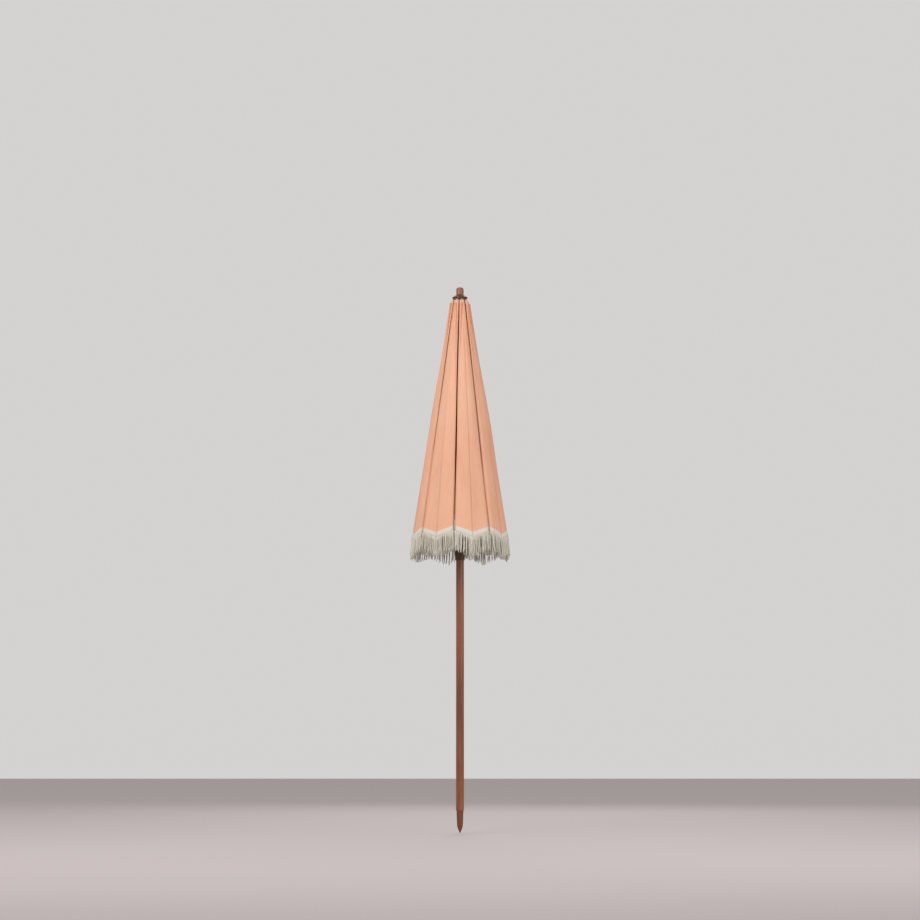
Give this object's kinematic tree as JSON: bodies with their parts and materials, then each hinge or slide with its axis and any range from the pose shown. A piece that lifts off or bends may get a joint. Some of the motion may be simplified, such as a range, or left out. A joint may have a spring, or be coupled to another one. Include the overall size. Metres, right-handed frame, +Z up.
{
  "type": "fringed beach parasol",
  "caption": "Closed cloth parasol with a cotton fringe, folding wooden ribs and struts, a sliding runner and a turned wooden pole with a ground spike.",
  "frame": {"origin": "point of the ground spike, on the axis of the pole", "axes": "+Z up the pole, -Y towards the front"},
  "size_m": [0.338, 0.338, 2],
  "materials": {
    "pole_wood": "stained and satin varnished",
    "dark_wood": "dark stained and satin varnished",
    "rib_wood": "plain light wood",
    "wire": "drawn wire",
    "cloth": "matt woven cotton"
  },
  "bodies": {
    "root": {"pole": "pole_wood", "spike_tip": "dark_wood", "finial": "pole_wood", "crown": "dark_wood", "crown_hinge_wire": "wire"},
    "runner": {"runner": "dark_wood"},
    "rib_1": {"rib_1": "rib_wood"},
    "strut_1": {"strut_1": "rib_wood"},
    "canopy_1_left_inner": {"canopy_1_left_inner": "cloth"},
    "canopy_1_left_outer": {"canopy_1_left_outer": "cloth"},
    "canopy_1_right_inner": {"canopy_1_right_inner": "cloth"},
    "canopy_1_right_outer": {"canopy_1_right_outer": "cloth"},
    "rib_2": {"rib_2": "rib_wood"},
    "strut_2": {"strut_2": "rib_wood"},
    "canopy_2_left_inner": {"canopy_2_left_inner": "cloth"},
    "canopy_2_left_outer": {"canopy_2_left_outer": "cloth"},
    "canopy_2_right_inner": {"canopy_2_right_inner": "cloth"},
    "canopy_2_right_outer": {"canopy_2_right_outer": "cloth"},
    "rib_3": {"rib_3": "rib_wood"},
    "strut_3": {"strut_3": "rib_wood"},
    "canopy_3_left_inner": {"canopy_3_left_inner": "cloth"},
    "canopy_3_left_outer": {"canopy_3_left_outer": "cloth"},
    "canopy_3_right_inner": {"canopy_3_right_inner": "cloth"},
    "canopy_3_right_outer": {"canopy_3_right_outer": "cloth"},
    "rib_4": {"rib_4": "rib_wood"},
    "strut_4": {"strut_4": "rib_wood"},
    "canopy_4_left_inner": {"canopy_4_left_inner": "cloth"},
    "canopy_4_left_outer": {"canopy_4_left_outer": "cloth"},
    "canopy_4_right_inner": {"canopy_4_right_inner": "cloth"},
    "canopy_4_right_outer": {"canopy_4_right_outer": "cloth"},
    "rib_5": {"rib_5": "rib_wood"},
    "strut_5": {"strut_5": "rib_wood"},
    "canopy_5_left_inner": {"canopy_5_left_inner": "cloth"},
    "canopy_5_left_outer": {"canopy_5_left_outer": "cloth"},
    "canopy_5_right_inner": {"canopy_5_right_inner": "cloth"},
    "canopy_5_right_outer": {"canopy_5_right_outer": "cloth"},
    "rib_6": {"rib_6": "rib_wood"},
    "strut_6": {"strut_6": "rib_wood"},
    "canopy_6_left_inner": {"canopy_6_left_inner": "cloth"},
    "canopy_6_left_outer": {"canopy_6_left_outer": "cloth"},
    "canopy_6_right_inner": {"canopy_6_right_inner": "cloth"},
    "canopy_6_right_outer": {"canopy_6_right_outer": "cloth"},
    "rib_7": {"rib_7": "rib_wood"},
    "strut_7": {"strut_7": "rib_wood"},
    "canopy_7_left_inner": {"canopy_7_left_inner": "cloth"},
    "canopy_7_left_outer": {"canopy_7_left_outer": "cloth"},
    "canopy_7_right_inner": {"canopy_7_right_inner": "cloth"},
    "canopy_7_right_outer": {"canopy_7_right_outer": "cloth"},
    "rib_8": {"rib_8": "rib_wood"},
    "strut_8": {"strut_8": "rib_wood"},
    "canopy_8_left_inner": {"canopy_8_left_inner": "cloth"},
    "canopy_8_left_outer": {"canopy_8_left_outer": "cloth"},
    "canopy_8_right_inner": {"canopy_8_right_inner": "cloth"},
    "canopy_8_right_outer": {"canopy_8_right_outer": "cloth"}
  },
  "joints": [
    {"name": "runner_slide", "type": "slide", "parent": "root", "child": "runner", "axis": [0, 0, 1], "range_m": [0, 0.62966], "deforming": ["canopy_1_left_inner", "canopy_1_left_outer", "canopy_1_right_inner", "canopy_1_right_outer", "canopy_2_left_inner", "canopy_2_left_outer", "canopy_2_right_inner", "canopy_2_right_outer", "canopy_3_left_inner", "canopy_3_left_outer", "canopy_3_right_inner", "canopy_3_right_outer", "canopy_4_left_inner", "canopy_4_left_outer", "canopy_4_right_inner", "canopy_4_right_outer", "canopy_5_left_inner", "canopy_5_left_outer", "canopy_5_right_inner", "canopy_5_right_outer", "canopy_6_left_inner", "canopy_6_left_outer", "canopy_6_right_inner", "canopy_6_right_outer", "canopy_7_left_inner", "canopy_7_left_outer", "canopy_7_right_inner", "canopy_7_right_outer", "canopy_8_left_inner", "canopy_8_left_outer", "canopy_8_right_inner", "canopy_8_right_outer"]},
    {"name": "rib_1_hinge", "type": "hinge", "parent": "root", "child": "rib_1", "pos_m": [-0.01083, -0.01915, 1.95], "axis": [-0.8704, 0.4924, 0], "range_deg": [0, 68.2]},
    {"name": "strut_1_hinge", "type": "hinge", "parent": "rib_1", "child": "strut_1", "pos_m": [-0.04227, -0.07471, 1.50446], "axis": [-0.8704, 0.4924, 0], "range_deg": [-130.32, 0]},
    {"name": "canopy_1_left_inner_fold", "type": "hinge", "parent": "rib_1", "child": "canopy_1_left_inner", "pos_m": [-0.01351, -0.02387, 1.95089], "axis": [-0.132, -0.1039, -0.9858], "range_deg": [-105.03, 0]},
    {"name": "canopy_1_left_outer_fold", "type": "hinge", "parent": "canopy_1_left_inner", "child": "canopy_1_left_outer", "pos_m": [-0.01351, -0.02387, 1.95089], "axis": [-0.0053, 0.0038, -1], "range_deg": [0, 176.38]},
    {"name": "canopy_1_right_inner_fold", "type": "hinge", "parent": "rib_1", "child": "canopy_1_right_inner", "pos_m": [-0.01351, -0.02387, 1.95089], "axis": [-0.021, -0.1667, -0.9858], "range_deg": [0, 105.03]},
    {"name": "canopy_1_right_outer_fold", "type": "hinge", "parent": "canopy_1_right_inner", "child": "canopy_1_right_outer", "pos_m": [-0.01351, -0.02387, 1.95089], "axis": [0.006, -0.0026, -1], "range_deg": [-176.38, 0]},
    {"name": "rib_2_hinge", "type": "hinge", "parent": "root", "child": "rib_2", "pos_m": [0.00588, -0.0212, 1.95], "axis": [-0.9636, -0.2672, 0], "range_deg": [0, 68.2]},
    {"name": "strut_2_hinge", "type": "hinge", "parent": "rib_2", "child": "strut_2", "pos_m": [0.02294, -0.08272, 1.50446], "axis": [-0.9636, -0.2672, 0], "range_deg": [-130.32, 0]},
    {"name": "canopy_2_left_inner_fold", "type": "hinge", "parent": "rib_2", "child": "canopy_2_left_inner", "pos_m": [0.00733, -0.02643, 1.95089], "axis": [-0.0199, -0.1668, -0.9858], "range_deg": [-105.03, 0]},
    {"name": "canopy_2_left_outer_fold", "type": "hinge", "parent": "canopy_2_left_inner", "child": "canopy_2_left_outer", "pos_m": [0.00733, -0.02643, 1.95089], "axis": [-0.0064, -0.0011, -1], "range_deg": [0, 176.38]},
    {"name": "canopy_2_right_inner_fold", "type": "hinge", "parent": "rib_2", "child": "canopy_2_right_inner", "pos_m": [0.00733, -0.02643, 1.95089], "axis": [0.103, -0.1327, -0.9858], "range_deg": [0, 105.03]},
    {"name": "canopy_2_right_outer_fold", "type": "hinge", "parent": "canopy_2_right_inner", "child": "canopy_2_right_outer", "pos_m": [0.00733, -0.02643, 1.95089], "axis": [0.0061, 0.0024, -1], "range_deg": [-176.38, 0]},
    {"name": "rib_3_hinge", "type": "hinge", "parent": "root", "child": "rib_3", "pos_m": [0.01915, -0.01083, 1.95], "axis": [-0.4924, -0.8704, 0], "range_deg": [0, 68.2]},
    {"name": "strut_3_hinge", "type": "hinge", "parent": "rib_3", "child": "strut_3", "pos_m": [0.07471, -0.04227, 1.50446], "axis": [-0.4924, -0.8704, 0], "range_deg": [-130.32, 0]},
    {"name": "canopy_3_left_inner_fold", "type": "hinge", "parent": "rib_3", "child": "canopy_3_left_inner", "pos_m": [0.02387, -0.01351, 1.95089], "axis": [0.1039, -0.132, -0.9858], "range_deg": [-105.03, 0]},
    {"name": "canopy_3_left_outer_fold", "type": "hinge", "parent": "canopy_3_left_inner", "child": "canopy_3_left_outer", "pos_m": [0.02387, -0.01351, 1.95089], "axis": [-0.0038, -0.0053, -1], "range_deg": [0, 176.38]},
    {"name": "canopy_3_right_inner_fold", "type": "hinge", "parent": "rib_3", "child": "canopy_3_right_inner", "pos_m": [0.02387, -0.01351, 1.95089], "axis": [0.1667, -0.021, -0.9858], "range_deg": [0, 105.03]},
    {"name": "canopy_3_right_outer_fold", "type": "hinge", "parent": "canopy_3_right_inner", "child": "canopy_3_right_outer", "pos_m": [0.02387, -0.01351, 1.95089], "axis": [0.0026, 0.006, -1], "range_deg": [-176.38, 0]},
    {"name": "rib_4_hinge", "type": "hinge", "parent": "root", "child": "rib_4", "pos_m": [0.0212, 0.00588, 1.95], "axis": [0.2672, -0.9636, 0], "range_deg": [0, 68.2]},
    {"name": "strut_4_hinge", "type": "hinge", "parent": "rib_4", "child": "strut_4", "pos_m": [0.08272, 0.02294, 1.50446], "axis": [0.2672, -0.9636, 0], "range_deg": [-130.32, 0]},
    {"name": "canopy_4_left_inner_fold", "type": "hinge", "parent": "rib_4", "child": "canopy_4_left_inner", "pos_m": [0.02643, 0.00733, 1.95089], "axis": [0.1668, -0.0199, -0.9858], "range_deg": [-105.03, 0]},
    {"name": "canopy_4_left_outer_fold", "type": "hinge", "parent": "canopy_4_left_inner", "child": "canopy_4_left_outer", "pos_m": [0.02643, 0.00733, 1.95089], "axis": [0.0011, -0.0064, -1], "range_deg": [0, 176.38]},
    {"name": "canopy_4_right_inner_fold", "type": "hinge", "parent": "rib_4", "child": "canopy_4_right_inner", "pos_m": [0.02643, 0.00733, 1.95089], "axis": [0.1327, 0.103, -0.9858], "range_deg": [0, 105.03]},
    {"name": "canopy_4_right_outer_fold", "type": "hinge", "parent": "canopy_4_right_inner", "child": "canopy_4_right_outer", "pos_m": [0.02643, 0.00733, 1.95089], "axis": [-0.0024, 0.0061, -1], "range_deg": [-176.38, 0]},
    {"name": "rib_5_hinge", "type": "hinge", "parent": "root", "child": "rib_5", "pos_m": [0.01083, 0.01915, 1.95], "axis": [0.8704, -0.4924, 0], "range_deg": [0, 68.2]},
    {"name": "strut_5_hinge", "type": "hinge", "parent": "rib_5", "child": "strut_5", "pos_m": [0.04227, 0.07471, 1.50446], "axis": [0.8704, -0.4924, 0], "range_deg": [-130.32, 0]},
    {"name": "canopy_5_left_inner_fold", "type": "hinge", "parent": "rib_5", "child": "canopy_5_left_inner", "pos_m": [0.01351, 0.02387, 1.95089], "axis": [0.132, 0.1039, -0.9858], "range_deg": [-105.03, 0]},
    {"name": "canopy_5_left_outer_fold", "type": "hinge", "parent": "canopy_5_left_inner", "child": "canopy_5_left_outer", "pos_m": [0.01351, 0.02387, 1.95089], "axis": [0.0053, -0.0038, -1], "range_deg": [0, 176.38]},
    {"name": "canopy_5_right_inner_fold", "type": "hinge", "parent": "rib_5", "child": "canopy_5_right_inner", "pos_m": [0.01351, 0.02387, 1.95089], "axis": [0.021, 0.1667, -0.9858], "range_deg": [0, 105.03]},
    {"name": "canopy_5_right_outer_fold", "type": "hinge", "parent": "canopy_5_right_inner", "child": "canopy_5_right_outer", "pos_m": [0.01351, 0.02387, 1.95089], "axis": [-0.006, 0.0026, -1], "range_deg": [-176.38, 0]},
    {"name": "rib_6_hinge", "type": "hinge", "parent": "root", "child": "rib_6", "pos_m": [-0.00588, 0.0212, 1.95], "axis": [0.9636, 0.2672, 0], "range_deg": [0, 68.2]},
    {"name": "strut_6_hinge", "type": "hinge", "parent": "rib_6", "child": "strut_6", "pos_m": [-0.02294, 0.08272, 1.50446], "axis": [0.9636, 0.2672, 0], "range_deg": [-130.32, 0]},
    {"name": "canopy_6_left_inner_fold", "type": "hinge", "parent": "rib_6", "child": "canopy_6_left_inner", "pos_m": [-0.00733, 0.02643, 1.95089], "axis": [0.0199, 0.1668, -0.9858], "range_deg": [-105.03, 0]},
    {"name": "canopy_6_left_outer_fold", "type": "hinge", "parent": "canopy_6_left_inner", "child": "canopy_6_left_outer", "pos_m": [-0.00733, 0.02643, 1.95089], "axis": [0.0064, 0.0011, -1], "range_deg": [0, 176.38]},
    {"name": "canopy_6_right_inner_fold", "type": "hinge", "parent": "rib_6", "child": "canopy_6_right_inner", "pos_m": [-0.00733, 0.02643, 1.95089], "axis": [-0.103, 0.1327, -0.9858], "range_deg": [0, 105.03]},
    {"name": "canopy_6_right_outer_fold", "type": "hinge", "parent": "canopy_6_right_inner", "child": "canopy_6_right_outer", "pos_m": [-0.00733, 0.02643, 1.95089], "axis": [-0.0061, -0.0024, -1], "range_deg": [-176.38, 0]},
    {"name": "rib_7_hinge", "type": "hinge", "parent": "root", "child": "rib_7", "pos_m": [-0.01915, 0.01083, 1.95], "axis": [0.4924, 0.8704, 0], "range_deg": [0, 68.2]},
    {"name": "strut_7_hinge", "type": "hinge", "parent": "rib_7", "child": "strut_7", "pos_m": [-0.07471, 0.04227, 1.50446], "axis": [0.4924, 0.8704, 0], "range_deg": [-130.32, 0]},
    {"name": "canopy_7_left_inner_fold", "type": "hinge", "parent": "rib_7", "child": "canopy_7_left_inner", "pos_m": [-0.02387, 0.01351, 1.95089], "axis": [-0.1039, 0.132, -0.9858], "range_deg": [-105.03, 0]},
    {"name": "canopy_7_left_outer_fold", "type": "hinge", "parent": "canopy_7_left_inner", "child": "canopy_7_left_outer", "pos_m": [-0.02387, 0.01351, 1.95089], "axis": [0.0038, 0.0053, -1], "range_deg": [0, 176.38]},
    {"name": "canopy_7_right_inner_fold", "type": "hinge", "parent": "rib_7", "child": "canopy_7_right_inner", "pos_m": [-0.02387, 0.01351, 1.95089], "axis": [-0.1667, 0.021, -0.9858], "range_deg": [0, 105.03]},
    {"name": "canopy_7_right_outer_fold", "type": "hinge", "parent": "canopy_7_right_inner", "child": "canopy_7_right_outer", "pos_m": [-0.02387, 0.01351, 1.95089], "axis": [-0.0026, -0.006, -1], "range_deg": [-176.38, 0]},
    {"name": "rib_8_hinge", "type": "hinge", "parent": "root", "child": "rib_8", "pos_m": [-0.0212, -0.00588, 1.95], "axis": [-0.2672, 0.9636, 0], "range_deg": [0, 68.2]},
    {"name": "strut_8_hinge", "type": "hinge", "parent": "rib_8", "child": "strut_8", "pos_m": [-0.08272, -0.02294, 1.50446], "axis": [-0.2672, 0.9636, 0], "range_deg": [-130.32, 0]},
    {"name": "canopy_8_left_inner_fold", "type": "hinge", "parent": "rib_8", "child": "canopy_8_left_inner", "pos_m": [-0.02643, -0.00733, 1.95089], "axis": [-0.1668, 0.0199, -0.9858], "range_deg": [-105.03, 0]},
    {"name": "canopy_8_left_outer_fold", "type": "hinge", "parent": "canopy_8_left_inner", "child": "canopy_8_left_outer", "pos_m": [-0.02643, -0.00733, 1.95089], "axis": [-0.0011, 0.0064, -1], "range_deg": [0, 176.38]},
    {"name": "canopy_8_right_inner_fold", "type": "hinge", "parent": "rib_8", "child": "canopy_8_right_inner", "pos_m": [-0.02643, -0.00733, 1.95089], "axis": [-0.1327, -0.103, -0.9858], "range_deg": [0, 105.03]},
    {"name": "canopy_8_right_outer_fold", "type": "hinge", "parent": "canopy_8_right_inner", "child": "canopy_8_right_outer", "pos_m": [-0.02643, -0.00733, 1.95089], "axis": [0.0024, -0.0061, -1], "range_deg": [-176.38, 0]}
  ],
  "couplings": [
    {"joint": "rib_1_hinge", "follows": "runner_slide", "rad_per_m": 1.8766},
    {"joint": "strut_1_hinge", "follows": "runner_slide", "rad_per_m": -3.5986},
    {"joint": "canopy_1_left_inner_fold", "follows": "runner_slide", "rad_per_m": -2.8974},
    {"joint": "canopy_1_left_outer_fold", "follows": "runner_slide", "rad_per_m": 4.875},
    {"joint": "canopy_1_right_inner_fold", "follows": "runner_slide", "rad_per_m": 2.8974},
    {"joint": "canopy_1_right_outer_fold", "follows": "runner_slide", "rad_per_m": -4.875},
    {"joint": "rib_2_hinge", "follows": "runner_slide", "rad_per_m": 1.8766},
    {"joint": "strut_2_hinge", "follows": "runner_slide", "rad_per_m": -3.5986},
    {"joint": "canopy_2_left_inner_fold", "follows": "runner_slide", "rad_per_m": -2.8974},
    {"joint": "canopy_2_left_outer_fold", "follows": "runner_slide", "rad_per_m": 4.875},
    {"joint": "canopy_2_right_inner_fold", "follows": "runner_slide", "rad_per_m": 2.8974},
    {"joint": "canopy_2_right_outer_fold", "follows": "runner_slide", "rad_per_m": -4.875},
    {"joint": "rib_3_hinge", "follows": "runner_slide", "rad_per_m": 1.8766},
    {"joint": "strut_3_hinge", "follows": "runner_slide", "rad_per_m": -3.5986},
    {"joint": "canopy_3_left_inner_fold", "follows": "runner_slide", "rad_per_m": -2.8974},
    {"joint": "canopy_3_left_outer_fold", "follows": "runner_slide", "rad_per_m": 4.875},
    {"joint": "canopy_3_right_inner_fold", "follows": "runner_slide", "rad_per_m": 2.8974},
    {"joint": "canopy_3_right_outer_fold", "follows": "runner_slide", "rad_per_m": -4.875},
    {"joint": "rib_4_hinge", "follows": "runner_slide", "rad_per_m": 1.8766},
    {"joint": "strut_4_hinge", "follows": "runner_slide", "rad_per_m": -3.5986},
    {"joint": "canopy_4_left_inner_fold", "follows": "runner_slide", "rad_per_m": -2.8974},
    {"joint": "canopy_4_left_outer_fold", "follows": "runner_slide", "rad_per_m": 4.875},
    {"joint": "canopy_4_right_inner_fold", "follows": "runner_slide", "rad_per_m": 2.8974},
    {"joint": "canopy_4_right_outer_fold", "follows": "runner_slide", "rad_per_m": -4.875},
    {"joint": "rib_5_hinge", "follows": "runner_slide", "rad_per_m": 1.8766},
    {"joint": "strut_5_hinge", "follows": "runner_slide", "rad_per_m": -3.5986},
    {"joint": "canopy_5_left_inner_fold", "follows": "runner_slide", "rad_per_m": -2.8974},
    {"joint": "canopy_5_left_outer_fold", "follows": "runner_slide", "rad_per_m": 4.875},
    {"joint": "canopy_5_right_inner_fold", "follows": "runner_slide", "rad_per_m": 2.8974},
    {"joint": "canopy_5_right_outer_fold", "follows": "runner_slide", "rad_per_m": -4.875},
    {"joint": "rib_6_hinge", "follows": "runner_slide", "rad_per_m": 1.8766},
    {"joint": "strut_6_hinge", "follows": "runner_slide", "rad_per_m": -3.5986},
    {"joint": "canopy_6_left_inner_fold", "follows": "runner_slide", "rad_per_m": -2.8974},
    {"joint": "canopy_6_left_outer_fold", "follows": "runner_slide", "rad_per_m": 4.875},
    {"joint": "canopy_6_right_inner_fold", "follows": "runner_slide", "rad_per_m": 2.8974},
    {"joint": "canopy_6_right_outer_fold", "follows": "runner_slide", "rad_per_m": -4.875},
    {"joint": "rib_7_hinge", "follows": "runner_slide", "rad_per_m": 1.8766},
    {"joint": "strut_7_hinge", "follows": "runner_slide", "rad_per_m": -3.5986},
    {"joint": "canopy_7_left_inner_fold", "follows": "runner_slide", "rad_per_m": -2.8974},
    {"joint": "canopy_7_left_outer_fold", "follows": "runner_slide", "rad_per_m": 4.875},
    {"joint": "canopy_7_right_inner_fold", "follows": "runner_slide", "rad_per_m": 2.8974},
    {"joint": "canopy_7_right_outer_fold", "follows": "runner_slide", "rad_per_m": -4.875},
    {"joint": "rib_8_hinge", "follows": "runner_slide", "rad_per_m": 1.8766},
    {"joint": "strut_8_hinge", "follows": "runner_slide", "rad_per_m": -3.5986},
    {"joint": "canopy_8_left_inner_fold", "follows": "runner_slide", "rad_per_m": -2.8974},
    {"joint": "canopy_8_left_outer_fold", "follows": "runner_slide", "rad_per_m": 4.875},
    {"joint": "canopy_8_right_inner_fold", "follows": "runner_slide", "rad_per_m": 2.8974},
    {"joint": "canopy_8_right_outer_fold", "follows": "runner_slide", "rad_per_m": -4.875}
  ]
}
